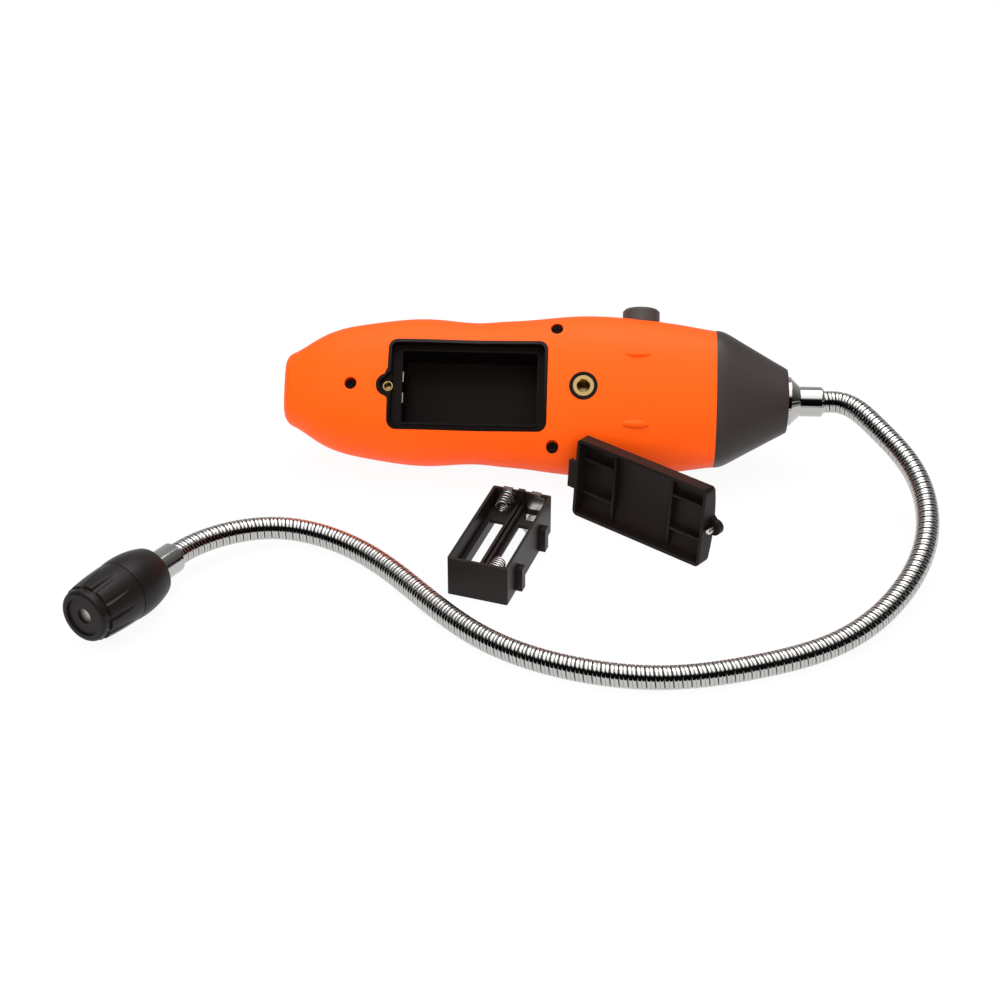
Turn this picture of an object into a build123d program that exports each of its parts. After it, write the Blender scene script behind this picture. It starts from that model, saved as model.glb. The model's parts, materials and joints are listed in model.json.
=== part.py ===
from build123d import *
import math
import os

# Handheld gas leak detector with a long pliable gooseneck and a sensor head.
# It stands as it does on a table: the housing leans back on one long side with its
# back face up and to the front, the gooseneck comes round in front and carries the
# sensor head, and the battery cover and the cell holder stand beside it, taken out.
# Everything is in millimetres, with +Z up and the table at Z = 0.

# Housing, in its own frame: X runs from the butt to the nose, Y across the width,
# Z out of the back face. Each station is (distance from the butt, width, thickness).
STATIONS = [
    (1.2, 31.0, 23.0),
    (12.5, 42.6, 31.5),
    (27.0, 54.2, 38.0),
    (45.0, 60.8, 41.0),
    (62.0, 63.8, 42.0),
    (82.0, 61.6, 41.0),
    (105.0, 64.4, 43.0),
    (133.0, 69.4, 46.0),
    (162.0, 66.0, 45.0),
    (187.8, 58.8, 42.0),
]
OVAL_POWER = 2.6
OVAL_POINTS = 18
HOUSING_SECTIONS = 13
HOUSING_WALL = 2.6
BUTT_FILLET = 5.5
HOUSING_LEAN = 48.0
HOUSING_YAW = -2.6
HOUSING_BUTT = (-94.6, 39.2)

# Nose cone
NOSE_SHOULDER = 3.2
NOSE_LENGTH = 31.2
NOSE_TIP_DIAMETER = 27.6
NOSE_SECTIONS = 7
NOSE_WALL = 2.4
NOSE_BASE = 2.0
NOSE_SPIGOT = 4.0
SPIGOT_WALL = 1.6
SPIGOT_GAP = 0.1

# Battery compartment and its cover
RECESS_START = 47.1
RECESS_LENGTH = 68.5
RECESS_WIDTH = 39.6
RECESS_CORNER = 4.0
RIM_WALL = 1.4
EAR_RADIUS = 4.9
EAR_BASE = 13.4
EAR_SIDE = -0.95
EAR_FLOOR_DEPTH = 3.2
COVER_DEPTH = 6.2
COVER_GAP = 0.25
COVER_PLATE = 1.6
COVER_DRAFT = 0.5
EAR_DROP = 0.2
COVER_WALL = 1.4
COVER_RIB = 1.1
COVER_RIB_HEIGHT = 1.2
COVER_CROSS_RIBS = (17.8, 46.4)
COVER_LONG_RIBS = (10.5, 26.0)
COVER_TONGUE = (4.0, 12.5, 2.0)
COVER_TONGUE_RISE = 1.7
COVER_CORNER = (30.7, -10.7)
COVER_YAW = -38.6
POCKET_START = 52.8
POCKET_LENGTH = 58.2
POCKET_WIDTH = 31.4
POCKET_DEPTH = 22.6
POCKET_WALL = 1.5
POCKET_LIP = 0.8
POCKET_LIP_HEIGHT = 0.7

# Cell holder for four AAA cells, two on each side of its partition
HOLDER_LENGTH = 57.1
HOLDER_WIDTH = 25.6
HOLDER_HEIGHT = 17.5
HOLDER_WALL = 1.3
HOLDER_PARTITION = 1.5
HOLDER_RIDGE = 3.0
HOLDER_RIDGE_HEIGHT = 2.8
HOLDER_GROOVE = 1.0
HOLDER_SLOT_WIDTH = 6.2
HOLDER_SLOTS = ((4.2, 43.2), (6.4, 43.2))
HOLDER_WINDOW = (7.4, 8.0)
HOLDER_LUG = (2.6, 4.0, 10.6)
HOLDER_LUG_PLACES = (13.0, 43.0)
HOLDER_CORNER = (-21.3, -69.4)
HOLDER_YAW = -19.1
CELL_DIAMETER = 10.5

# Springs and contact plates
SPRING_WIRE = 0.5
SPRING_BASE_RADIUS = 3.6
SPRING_TIP_RADIUS = 2.6
SPRING_LENGTH = 8.0
SPRING_TURNS = 4.5
SPRING_SIDES = 10
CONTACT_SHEET = 0.4
CONTACT_PLATE = (8.0, 6.6)

# Screws and inserts
CASE_SCREW_PLACES = [(31.2, -0.4), (119.1, 26.0), (118.3, -25.6)]
CASE_SCREW_SHANK = 1.45
CASE_SCREW_HEAD = 2.4
CASE_SCREW_HEAD_HEIGHT = 2.0
CASE_SCREW_LENGTH = 22.0
CASE_SCREW_WELL = 2.7
CASE_SCREW_SUNK = 3.0
CASE_BOSS = 4.4
TRIPOD_PLACE = 131.0
TRIPOD_RING_RADIUS = 6.05
TRIPOD_INSERT_RADIUS = 4.45
TRIPOD_BORE = 2.6
TRIPOD_THREAD_LENGTH = 9.0
TRIPOD_INSERT_LENGTH = 11.0
COVER_INSERT_RADIUS = 2.1
COVER_INSERT_BORE = 1.4
COVER_INSERT_LENGTH = 4.5
COVER_SCREW_SHANK = 1.3
COVER_SCREW_HEAD = 2.3
COVER_SCREW_HEAD_HEIGHT = 1.4
COVER_SCREW_LENGTH = 7.0
COVER_SCREW_GAP = 0.15
FIT = 0.05

# Grip studs beside the insert, and the knob
STUDS = [(153.6, 14.5, 12.0, 3.2), (153.2, -15.8, 13.5, 4.2)]
STUD_HEIGHT = 1.4
STUD_ROOT = 1.0
KNOB_PLACE = 155.5
KNOB_RADIUS = 8.1
KNOB_TOP = 39.0
KNOB_HEIGHT = 7.0
KNOB_CHAMFER = 1.0
KNOB_BORE = 3.0
KNOB_BORE_DEPTH = 5.0
KNOB_RECESS_GAP = 0.5
SHAFT_CLEARANCE = 0.06
POT_BODY = (11.0, 7.0, 11.0)
POT_BUSH_RADIUS = 3.4
POT_GAP = 0.9

# Electronics
BOARD_START = 60.0
BOARD_END = 182.0
BOARD_WIDTH = 36.0
BOARD_THICKNESS = 1.6
BOARD_TOP = -12.7
BOARD_POSTS = [(68.0, 13.0), (68.0, -13.0), (176.0, 13.0), (176.0, -13.0)]
BOARD_POST_RADIUS = 2.6
LAMP_PLACES = [146.0, 152.0, 158.0, 164.0, 170.0]
LAMP_RADIUS = 1.5
LAMP_FLANGE = 1.9
SOUNDER_PLACE = 126.0
SOUNDER_RADIUS = 6.0
SOUNDER_HEIGHT = 5.5
SOUNDER_SLOT = (1.6, 9.0)
SOUNDER_SLOT_STEPS = (-6.0, -3.0, 0.0, 3.0, 6.0)

# Gooseneck and its end fittings
NECK_RIDGE = 4.8
NECK_GROOVE = 4.2
NECK_PITCH = 3.3
NECK_FIT = 0.2
COLLAR_RADIUS = 6.5
COLLAR_LENGTH = 10.2
HEAD_COLLAR_LENGTH = 13.9
COLLAR_BEVEL = 1.0
COLLAR_BORE_DEPTH = 6.0
FLANGE_RADIUS = 10.6
FLANGE_THICKNESS = 1.6
FLANGE_CONE = 4.2
SHANK_RADIUS = 5.0
SHANK_LENGTH = 9.0
LOCK_NUT_ACROSS = 14.0
LOCK_NUT_HEIGHT = 3.6
NECK_REST = 4.95
NECK_POINTS = [
    (160.3, 13.2, 29.7),
    (173.6, -16.0, 24.1),
    (174.4, -49.0, 17.2),
    (161.9, -79.2, 11.0),
    (133.0, -109.2, 5.9),
    (98.0, -124.6, NECK_REST),
    (62.8, -131.4, NECK_REST),
    (29.0, -126.0, NECK_REST),
    (-3.2, -109.0, NECK_REST),
    (-33.0, -75.2, NECK_REST),
    (-64.5, -41.2, 5.3),
    (-89.0, -33.2, 7.4),
    (-113.0, -40.2, 9.4),
]

# Sensor head, along its own axis from the seam between sleeve and cap
HEAD_SEAM = (-149.7, -87.7)
HEAD_YAW = 238.2
HEAD_RISE = 4.0
HEAD_RADIUS = 13.1
SLEEVE_LENGTH = 19.2
SLEEVE_REAR_RADIUS = 10.4
SLEEVE_SEAM_RADIUS = 12.9
SLEEVE_ROUNDING = 2.2
SLEEVE_WALL = 2.2
CAP_LENGTH = 22.3
CAP_GAP = 0.3
CAP_SEAM_RADIUS = 12.8
CAP_FACE_RADIUS = 10.9
CAP_FACE_ROUNDING = 1.6
CAP_STEP_RADIUS = 11.8
CAP_STEP = 4.0
CAP_FLUTES = 11
CAP_FLUTE_RADIUS = 2.0
CAP_FLUTE_DEPTH = 0.75
CAP_FLUTE_LENGTH = 15.0
CAP_FLUTE_TILT = 7.6
CAP_DISC_RADIUS = 8.05
CAP_DISC_RECESS = 1.0
CAP_DISC_THICKNESS = 1.6
CAP_ROOM_RADIUS = 7.9
CAP_HOLE_RADIUS = 3.2
THREAD_RADIUS = 9.4
THREAD_LENGTH = 7.0
SENSOR_RADIUS = 4.6
SENSOR_GAP = 0.3
SENSOR_BASE_RADIUS = 7.6
SENSOR_BASE_THICKNESS = 3.0


def housing_size(x):
    """Width and thickness of the housing at a distance from the butt, on a smooth curve."""
    i = 0
    while x > STATIONS[i + 1][0]:
        i += 1
    low, high = STATIONS[i], STATIONS[i + 1]
    before, after = STATIONS[max(i - 1, 0)], STATIONS[min(i + 2, len(STATIONS) - 1)]
    span = high[0] - low[0]
    t = (x - low[0]) / span
    sizes = []
    for column in (1, 2):
        leave = span * (high[column] - before[column]) / (high[0] - before[0])
        arrive = span * (after[column] - low[column]) / (after[0] - low[0])
        rise = high[column] - low[column]
        bend = (3 * rise - 2 * leave - arrive) * t + (leave + arrive - 2 * rise) * t * t
        sizes.append(low[column] + (leave + bend) * t)
    return sizes


def back_height(x, y):
    """Height of the crowned back face above the parting plane."""
    width, depth = housing_size(x)
    return depth / 2 * (1 - abs(2 * y / width) ** OVAL_POWER) ** (1 / OVAL_POWER)


def oval(x, width, depth, power=OVAL_POWER):
    """Closed rounded section across the housing."""
    points = []
    for i in range(OVAL_POINTS):
        angle = 2 * math.pi * i / OVAL_POINTS
        c, s = math.cos(angle), math.sin(angle)
        y = width / 2 * math.copysign(abs(c) ** (2 / power), c)
        z = depth / 2 * math.copysign(abs(s) ** (2 / power), s)
        points.append(Vector(x, y, z))
    return Wire([Edge.make_spline(points, periodic=True)])


def housing_form(inset=0.0):
    """The housing's outer form, or the same form inset by a wall."""
    start, end = STATIONS[0][0] + inset, STATIONS[-1][0]
    sections = []
    for i in range(HOUSING_SECTIONS):
        x = start + (end - start) * i / (HOUSING_SECTIONS - 1)
        width, depth = housing_size(x)
        sections.append(oval(x, width - 2 * inset, depth - 2 * inset))
    form = Solid.make_loft(sections)
    if inset == 0:
        form = fillet(form.faces().sort_by(Axis.X)[0].edges(), BUTT_FILLET)
    return form


def lowest(thing):
    """Lowest height that a solid reaches."""
    depth = 500.0
    floor = Pos(0, 0, -depth - 0.5) * Box(4 * depth, 4 * depth, 1)
    return thing.distance_to(floor) - depth


def rod(radius, x, y, low, high):
    """Cylinder along Z of the housing frame."""
    return Pos(x, y, (low + high) / 2) * Cylinder(radius, high - low)


def side_rod(radius, x, low, high):
    """Cylinder along Y of the housing frame, on the parting plane."""
    return Pos(x, (low + high) / 2, 0) * Rot(90, 0, 0) * Cylinder(radius, high - low)


def prism(outline, low, high):
    """A flat outline made solid between two heights."""
    return extrude(Pos(0, 0, low) * outline, high - low)


def compartment_outline(shrink):
    """Plan of the compartment's rim with the ear for the cover's screw."""
    length = RECESS_LENGTH - 2 * shrink
    width = RECESS_WIDTH - 2 * shrink
    corner = max(RECESS_CORNER - shrink, 0.5)
    middle = RECESS_START + RECESS_LENGTH / 2
    plan = Pos(middle, 0) * RectangleRounded(length, width, corner)
    root = RECESS_START + shrink + 1.0
    base = EAR_BASE / 2 - shrink
    tip = EAR_RADIUS - shrink
    flare = Polyline(
        (root, -base), (RECESS_START + shrink, -base),
        (RECESS_START - 1.5, EAR_SIDE - tip * 0.92), (RECESS_START - 1.5, EAR_SIDE + tip * 0.92),
        (RECESS_START + shrink, base), (root, base),
        close=True,
    )
    ear = make_face(flare.edges()) + Pos(RECESS_START, EAR_SIDE) * Circle(tip)
    return plan + ear


def parting_half(back):
    """Block that keeps the back half or the front half of the housing."""
    size = 2 * STATIONS[-1][0]
    shift = size / 2 if back else -size / 2
    return Pos(0, 0, shift) * Box(size * 2, size, size)


def screw_seat(x, y):
    """Height of the shoulder that a case screw's head rests on."""
    return back_height(x, y) - CASE_SCREW_SUNK - CASE_SCREW_HEAD_HEIGHT


def make_rear_shell(form, hollow):
    shell = (form - hollow) & parting_half(True)
    for x, y in CASE_SCREW_PLACES:
        seat = screw_seat(x, y)
        shell += rod(CASE_BOSS, x, y, 0, 40) & form
        shell -= rod(CASE_SCREW_WELL, x, y, seat, 40)
        shell -= rod(CASE_SCREW_SHANK + 0.15, x, y, -1, seat + 1)
    shell -= prism(compartment_outline(-FIT), -1, 40)
    shell -= rod(TRIPOD_RING_RADIUS + FIT, TRIPOD_PLACE, 0, 0, 40)
    for x, y, length, width in STUDS:
        stud = scale(Sphere(1), by=(length / 2, width / 2, STUD_HEIGHT + STUD_ROOT))
        shell += Pos(x, y, back_height(x, y) - STUD_ROOT) * stud
    return shell - knob_recess()


def make_front_shell(form, hollow):
    shell = (form - hollow) & parting_half(False)
    for x, y in CASE_SCREW_PLACES:
        tip = screw_seat(x, y) + CASE_SCREW_HEAD_HEIGHT - CASE_SCREW_LENGTH
        shell += rod(CASE_BOSS, x, y, -40, 0) & form
        shell -= rod(CASE_SCREW_SHANK + FIT, x, y, tip - 0.5, 1)
    for x, y in BOARD_POSTS:
        shell += rod(BOARD_POST_RADIUS, x, y, -40, BOARD_TOP - BOARD_THICKNESS) & form
    for step in SOUNDER_SLOT_STEPS:
        slot = SlotOverall(SOUNDER_SLOT[1], SOUNDER_SLOT[0], rotation=90)
        shell -= prism(Pos(SOUNDER_PLACE + step, 0) * slot, -40, -15)
    for x in LAMP_PLACES:
        shell -= rod(LAMP_RADIUS + 0.1, x, 0, -40, -15)
    return shell - knob_recess()


def knob_recess():
    """Flat-floored well and bush hole that the two shells share for the knob."""
    floor = KNOB_TOP - KNOB_HEIGHT - KNOB_RECESS_GAP
    well = side_rod(KNOB_RADIUS + KNOB_RECESS_GAP, KNOB_PLACE, floor, floor + 20)
    bush = side_rod(POT_BUSH_RADIUS + FIT, KNOB_PLACE, floor - 10, floor + 1)
    return well + bush


def make_battery_tub(form):
    """Black compartment moulding: flush rim, seat for the cover, pocket for the holder."""
    middle = RECESS_START + RECESS_LENGTH / 2
    pocket_middle = POCKET_START + POCKET_LENGTH / 2
    floor = LEDGE - POCKET_DEPTH
    tub = prism(compartment_outline(0), LEDGE - POCKET_WALL, 40) & form
    pocket_plan = Pos(pocket_middle, 0) * RectangleRounded(
        POCKET_LENGTH + 2 * POCKET_WALL, POCKET_WIDTH + 2 * POCKET_WALL, 2.0)
    tub += prism(pocket_plan, floor - POCKET_WALL, LEDGE)
    lip_plan = Pos(pocket_middle, 0) * RectangleRounded(
        POCKET_LENGTH + 2 * POCKET_LIP, POCKET_WIDTH + 2 * POCKET_LIP, 1.0 + POCKET_LIP)
    ear_floor = back_height(RECESS_START, 0) - EAR_FLOOR_DEPTH
    insert_end = ear_floor - COVER_INSERT_LENGTH
    tub += rod(EAR_RADIUS, RECESS_START, EAR_SIDE, insert_end - 1.5, ear_floor)
    seat = Pos(middle, 0) * RectangleRounded(
        RECESS_LENGTH - 2 * RIM_WALL, RECESS_WIDTH - 2 * RIM_WALL, RECESS_CORNER - RIM_WALL)
    tub -= prism(seat, LEDGE, 40)
    tub -= prism(compartment_outline(RIM_WALL), ear_floor, 40)
    tub += prism(lip_plan, LEDGE - 0.5, LEDGE + POCKET_LIP_HEIGHT)
    hollow = Pos(pocket_middle, 0) * RectangleRounded(POCKET_LENGTH, POCKET_WIDTH, 1.0)
    tub -= prism(hollow, floor, 40)
    tub -= rod(COVER_INSERT_RADIUS + FIT, RECESS_START, EAR_SIDE, insert_end, 40)
    tongue_slot = Box(3.0, COVER_TONGUE[1] + 1, COVER_TONGUE[2] + 0.6)
    tub -= Pos(RECESS_START + RECESS_LENGTH - RIM_WALL, 0, LEDGE + COVER_TONGUE_RISE) * tongue_slot
    return tub


def ring_insert(outer, bore, length, bore_depth):
    """Brass insert standing on its closed end, with a bevelled mouth."""
    body = Pos(0, 0, length / 2) * Cylinder(outer, length)
    body -= Pos(0, 0, length - bore_depth / 2) * Cylinder(bore, bore_depth)
    return chamfer(body.edges().sort_by(Axis.Z)[-1], 0.3)


def make_tripod_insert():
    base = TRIPOD_TOP - TRIPOD_INSERT_LENGTH
    insert = ring_insert(TRIPOD_INSERT_RADIUS, TRIPOD_BORE,
                         TRIPOD_INSERT_LENGTH, TRIPOD_THREAD_LENGTH)
    return Pos(TRIPOD_PLACE, 0, base) * insert


def make_tripod_ring():
    """Black bush around the brass insert, shouldered behind the rear shell."""
    base = TRIPOD_TOP - TRIPOD_INSERT_LENGTH - 1.5
    under = TRIPOD_TOP - HOUSING_WALL - 1.2
    ring = rod(TRIPOD_RING_RADIUS, TRIPOD_PLACE, 0, base, TRIPOD_TOP)
    ring += rod(TRIPOD_RING_RADIUS + 2, TRIPOD_PLACE, 0, base, under)
    ring -= rod(TRIPOD_INSERT_RADIUS + FIT, TRIPOD_PLACE, 0, base + 1.5, TRIPOD_TOP + 1)
    return ring


def make_cover_insert():
    ear_floor = back_height(RECESS_START, 0) - EAR_FLOOR_DEPTH
    insert = ring_insert(COVER_INSERT_RADIUS, COVER_INSERT_BORE,
                         COVER_INSERT_LENGTH, COVER_INSERT_LENGTH - 0.8)
    return Pos(RECESS_START, EAR_SIDE, ear_floor - COVER_INSERT_LENGTH) * insert


def make_case_screws():
    """The three housing screws, each a recessed pan head on a plain shank."""
    screws = []
    for x, y in CASE_SCREW_PLACES:
        seat = screw_seat(x, y)
        head_top = seat + CASE_SCREW_HEAD_HEIGHT
        screw = rod(CASE_SCREW_HEAD, x, y, seat, head_top)
        screw = chamfer(screw.edges().sort_by(Axis.Z)[-1], 0.5)
        screw += rod(CASE_SCREW_SHANK, x, y, head_top - CASE_SCREW_LENGTH, seat)
        for turn in (0, 90):
            screw -= Pos(x, y, head_top) * Rot(0, 0, turn) * Box(3.0, 0.7, 1.8)
        screws.append(screw)
    return screws


def nose_section(along, inset):
    """Section of the cone: flush with the shells, a rounded shoulder, then a straight taper."""
    start, width, depth = STATIONS[-1]
    straight = NOSE_LENGTH - NOSE_SHOULDER
    share = (along - NOSE_SHOULDER) / straight
    if along < 2 * NOSE_SHOULDER:
        share = along ** 2 / (4 * NOSE_SHOULDER * straight)
    width += share * (NOSE_TIP_DIAMETER - width) - 2 * inset
    depth += share * (NOSE_TIP_DIAMETER - depth) - 2 * inset
    return oval(start + along, width, depth, OVAL_POWER + share * (2 - OVAL_POWER))


def nose_form(low, high, inset):
    """The cone's form between two distances from the shells, inset by a wall."""
    step = (high - low) / (NOSE_SECTIONS - 1)
    return Solid.make_loft([nose_section(low + i * step, inset) for i in range(NOSE_SECTIONS)])


def spigot_form(low, high, inset):
    """Straight tube inside the front of the shells."""
    start, width, depth = STATIONS[-1]
    return Solid.make_loft([oval(start + along, width - 2 * inset, depth - 2 * inset)
                            for along in (low, high)])


def make_nose_cone():
    """Black cone that closes the front of the two shells and holds the gooseneck."""
    tip = STATIONS[-1][0] + NOSE_LENGTH
    outside = HOUSING_WALL + SPIGOT_GAP
    cone = nose_form(0, NOSE_LENGTH, 0).fuse(spigot_form(-NOSE_SPIGOT, 1, outside))
    cone = cone - nose_form(NOSE_BASE, NOSE_LENGTH - NOSE_WALL, NOSE_WALL)
    cone = cone - spigot_form(-NOSE_SPIGOT - 1, NOSE_BASE + 1, outside + SPIGOT_WALL)
    return cone - Pos(tip, 0, 0) * Rot(0, 90, 0) * Cylinder(SHANK_RADIUS + FIT, 20)


def turned(points):
    """Solid turned about X from a half section of (x, radius) points."""
    line = Polyline([(x, r, 0) for x, r in points], close=True)
    return revolve(make_face(line.edges()), Axis.X)


def make_nose_collar():
    """Chromed flange nut whose cone runs into the cylinder that grips the gooseneck."""
    tip = STATIONS[-1][0] + NOSE_LENGTH
    end = tip + FLANGE_THICKNESS + FLANGE_CONE + COLLAR_LENGTH
    collar = turned([
        (tip - SHANK_LENGTH, 2.5), (tip - SHANK_LENGTH, SHANK_RADIUS), (tip, SHANK_RADIUS),
        (tip, FLANGE_RADIUS - 0.4), (tip + 0.4, FLANGE_RADIUS),
        (tip + FLANGE_THICKNESS, FLANGE_RADIUS),
        (tip + FLANGE_THICKNESS + FLANGE_CONE, COLLAR_RADIUS),
        (end - COLLAR_BEVEL, COLLAR_RADIUS), (end, COLLAR_RADIUS - COLLAR_BEVEL),
        (end, NECK_RIDGE + NECK_FIT), (end - COLLAR_BORE_DEPTH, NECK_RIDGE + NECK_FIT),
        (end - COLLAR_BORE_DEPTH, 2.5)])
    return collar


def make_lock_nut():
    """Hexagon nut that clamps the collar's shank inside the nose cone."""
    seat = STATIONS[-1][0] + NOSE_LENGTH - NOSE_WALL
    nut = extrude(RegularPolygon(LOCK_NUT_ACROSS / 2, 6, major_radius=False), LOCK_NUT_HEIGHT)
    nut -= Cylinder(SHANK_RADIUS + FIT, 3 * LOCK_NUT_HEIGHT)
    return Pos(seat - LOCK_NUT_HEIGHT, 0, 0) * Rot(0, 90, 0) * nut


def make_knob():
    """Smooth round knob for switching on and setting the sensitivity."""
    knob = Cylinder(KNOB_RADIUS, KNOB_HEIGHT)
    knob = chamfer(knob.edges().sort_by(Axis.Z)[-1], KNOB_CHAMFER)
    bore = Pos(0, 0, -KNOB_HEIGHT / 2 + KNOB_BORE_DEPTH / 2) * Cylinder(
        KNOB_BORE + SHAFT_CLEARANCE, KNOB_BORE_DEPTH)
    knob -= bore
    knob -= Pos(0, KNOB_RADIUS * 0.62, KNOB_HEIGHT / 2) * Box(0.9, KNOB_RADIUS * 0.7, 0.8)
    centre = KNOB_TOP - KNOB_HEIGHT / 2
    return Pos(KNOB_PLACE, centre, 0) * Rot(-90, 0, 0) * knob


def make_potentiometer():
    """Switched potentiometer inside the side wall, with the shaft that carries the knob."""
    floor = KNOB_TOP - KNOB_HEIGHT - KNOB_RECESS_GAP
    wall_inside = housing_size(KNOB_PLACE)[0] / 2 - HOUSING_WALL
    body_top = wall_inside - POT_GAP
    body = Pos(KNOB_PLACE, body_top - POT_BODY[1] / 2, 0) * Box(*POT_BODY)
    body += side_rod(POT_BUSH_RADIUS, KNOB_PLACE, body_top, floor)
    shaft_end = KNOB_TOP - KNOB_HEIGHT + KNOB_BORE_DEPTH - 0.3
    return body + side_rod(KNOB_BORE, KNOB_PLACE, body_top, shaft_end)


def make_circuit_board():
    length = BOARD_END - BOARD_START
    middle = (BOARD_START + BOARD_END) / 2
    board = prism(Pos(middle, 0) * RectangleRounded(length, BOARD_WIDTH, 2.0),
                  BOARD_TOP - BOARD_THICKNESS, BOARD_TOP)
    return board


def make_sounder():
    low = BOARD_TOP - BOARD_THICKNESS - SOUNDER_HEIGHT
    body = rod(SOUNDER_RADIUS, SOUNDER_PLACE, 0, low, BOARD_TOP - BOARD_THICKNESS)
    return body - rod(1.2, SOUNDER_PLACE, 0, low - 1, low + 2)


def make_lamps():
    """Row of indicator lamps on the board that look out through the front shell."""
    lamps = []
    for x in LAMP_PLACES:
        board_face = BOARD_TOP - BOARD_THICKNESS
        face = -housing_size(x)[1] / 2
        lamp = rod(LAMP_RADIUS, x, 0, face + LAMP_RADIUS - 0.6, board_face)
        lamp += Pos(x, 0, face + LAMP_RADIUS - 0.6) * Sphere(LAMP_RADIUS)
        lamp += rod(LAMP_FLANGE, x, 0, board_face - 1.0, board_face)
        lamps.append(lamp)
    return lamps


def make_tub_contacts():
    """Two sprung leaves on the butt-side wall of the compartment."""
    leaves = []
    floor = LEDGE - POCKET_DEPTH
    for y in (-4.6, 4.6):
        t = CONTACT_SHEET
        profile = Polyline(
            (0, floor + 3), (0, LEDGE - 1), (t, LEDGE - 1), (t, floor + 15),
            (2.2, floor + 11), (t, floor + 6), (t, floor + 3), close=True)
        leaf = extrude(make_face(profile.edges()), 4.4)
        leaves.append(Pos(POCKET_START, y + 2.2, 0) * Rot(90, 0, 0) * leaf)
    return leaves


def coil(base_radius, tip_radius, length, turns, wire):
    """Conical spring along Z, from its wide end, with flat-sided turns."""
    count = round(turns * SPRING_SIDES)
    sections = []
    for i in range(count + 1):
        share = i / count
        angle = 2 * math.pi * turns * share
        radius = base_radius + share * (tip_radius - base_radius)
        height = wire / 2 + share * (length - wire)
        centre = Vector(radius * math.cos(angle), radius * math.sin(angle), height)
        plane = Plane(origin=centre, x_dir=(math.cos(angle), math.sin(angle), 0),
                      z_dir=(-math.sin(angle), math.cos(angle), 0))
        sections.append((plane * Rectangle(wire, wire)).wire())
    return Solid.make_loft(sections, ruled=True)


def make_holder():
    """Black cell holder, open above and below its partition."""
    holder = Pos(HOLDER_WIDTH / 2, HOLDER_LENGTH / 2, HOLDER_HEIGHT / 2) * Box(
        HOLDER_WIDTH, HOLDER_LENGTH, HOLDER_HEIGHT)
    holder = fillet(holder.edges().filter_by(Axis.Z), 0.8)
    bay_height = (HOLDER_HEIGHT - HOLDER_PARTITION) / 2
    inner = (HOLDER_WIDTH - 2 * HOLDER_WALL, HOLDER_LENGTH - 2 * HOLDER_WALL)
    for middle in (bay_height / 2, HOLDER_HEIGHT - bay_height / 2):
        holder -= Pos(HOLDER_WIDTH / 2, HOLDER_LENGTH / 2, middle) * Box(*inner, bay_height)
    ridge_height = HOLDER_PARTITION + 2 * HOLDER_RIDGE_HEIGHT
    centre = Pos(HOLDER_WIDTH / 2, HOLDER_LENGTH / 2, HOLDER_HEIGHT / 2)
    ridge = Box(HOLDER_RIDGE, HOLDER_LENGTH - HOLDER_WALL, ridge_height)
    ridge -= Box(HOLDER_GROOVE, HOLDER_LENGTH, ridge_height + 1) - Box(
        HOLDER_RIDGE, HOLDER_LENGTH, HOLDER_PARTITION + 1)
    holder += centre * ridge
    for x, (near, far) in zip(BAY_PLACES, HOLDER_SLOTS):
        slot = Box(HOLDER_SLOT_WIDTH, far - near, HOLDER_PARTITION + 1)
        holder -= Pos(x, (near + far) / 2, HOLDER_HEIGHT / 2) * slot
    window = Box(*HOLDER_WINDOW, HOLDER_PARTITION + 1)
    window_middle = HOLDER_LENGTH - HOLDER_WALL - HOLDER_WINDOW[1] / 2
    holder -= Pos(BAY_PLACES[1], window_middle, HOLDER_HEIGHT / 2) * window
    for y in HOLDER_LUG_PLACES:
        for x in (-HOLDER_LUG[0] / 2, HOLDER_WIDTH + HOLDER_LUG[0] / 2):
            holder += Pos(x, y, HOLDER_LUG[2] / 2) * Box(*HOLDER_LUG)
    post = Box(HOLDER_RIDGE, 2.0, 4.0)
    holder += Pos(HOLDER_WIDTH / 2, HOLDER_LENGTH - HOLDER_WALL, HOLDER_HEIGHT - 1) * post
    return holder


def bay_ends():
    """Each bay end as (bay centre, layer centre, at far end, holds a spring)."""
    bay_height = (HOLDER_HEIGHT - HOLDER_PARTITION) / 2
    layers = ((HOLDER_HEIGHT - bay_height / 2, 1), (bay_height / 2, -1))
    for height, side in layers:
        for x, hand in zip(BAY_PLACES, (1, -1)):
            spring_far = hand * side > 0
            yield x, height, True, spring_far
            yield x, height, False, not spring_far


def make_holder_springs():
    springs = []
    for x, height, far, is_spring in bay_ends():
        if not is_spring:
            continue
        spring = coil(SPRING_BASE_RADIUS, SPRING_TIP_RADIUS, SPRING_LENGTH,
                      SPRING_TURNS, SPRING_WIRE)
        wall = HOLDER_LENGTH - HOLDER_WALL - CONTACT_SHEET if far else HOLDER_WALL + CONTACT_SHEET
        turn = 90 if far else -90
        springs.append(Pos(x, wall, height) * Rot(turn, 0, 0) * spring)
    return springs


def make_holder_contacts():
    """Plated contact strips against the end walls, two folded over the far wall."""
    strips = []
    width, height = CONTACT_PLATE
    for x, level, far, is_spring in bay_ends():
        depth = HOLDER_LENGTH - HOLDER_WALL - CONTACT_SHEET / 2 if far else \
            HOLDER_WALL + CONTACT_SHEET / 2
        strip = Pos(x, depth, level) * Box(width, CONTACT_SHEET, height)
        if far and level > HOLDER_HEIGHT / 2:
            top = HOLDER_HEIGHT + CONTACT_SHEET / 2
            reach = HOLDER_WALL + 2 * CONTACT_SHEET
            strip += Pos(x, depth, (level + top) / 2) * Box(4.2, CONTACT_SHEET, top - level)
            strip += Pos(x, HOLDER_LENGTH - reach / 2 + CONTACT_SHEET, top) * Box(
                4.2, reach, CONTACT_SHEET)
            strip += Pos(x, HOLDER_LENGTH + CONTACT_SHEET / 2, top - 2.0) * Box(
                4.2, CONTACT_SHEET, 4.0 + CONTACT_SHEET)
        strips.append(strip)
    return strips


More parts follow.
